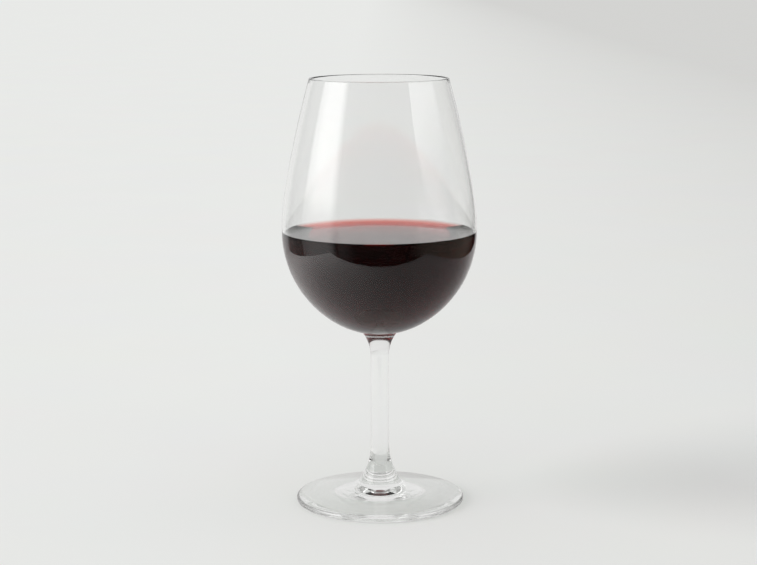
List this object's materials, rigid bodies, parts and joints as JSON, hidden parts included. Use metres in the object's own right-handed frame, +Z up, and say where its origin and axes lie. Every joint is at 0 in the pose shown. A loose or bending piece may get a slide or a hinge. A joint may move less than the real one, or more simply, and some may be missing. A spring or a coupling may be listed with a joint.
{
  "type": "glass of red wine",
  "caption": "Stemmed wine glass with a tall tapering bowl, slim stem and round foot, partly filled with red wine.",
  "frame": {"origin": "on the table, under the middle of the foot", "axes": "+Z up along the stem; the glass is a turned shape, so X and Y are alike"},
  "size_m": [0.0976, 0.0976, 0.215],
  "materials": {
    "clear_glass": "clear soda-lime glass, fire polished",
    "red_wine": "deep maroon liquid, almost black in depth and pink where thin"
  },
  "bodies": {
    "root": {"glass": "clear_glass", "wine": "red_wine"}
  },
  "joints": []
}
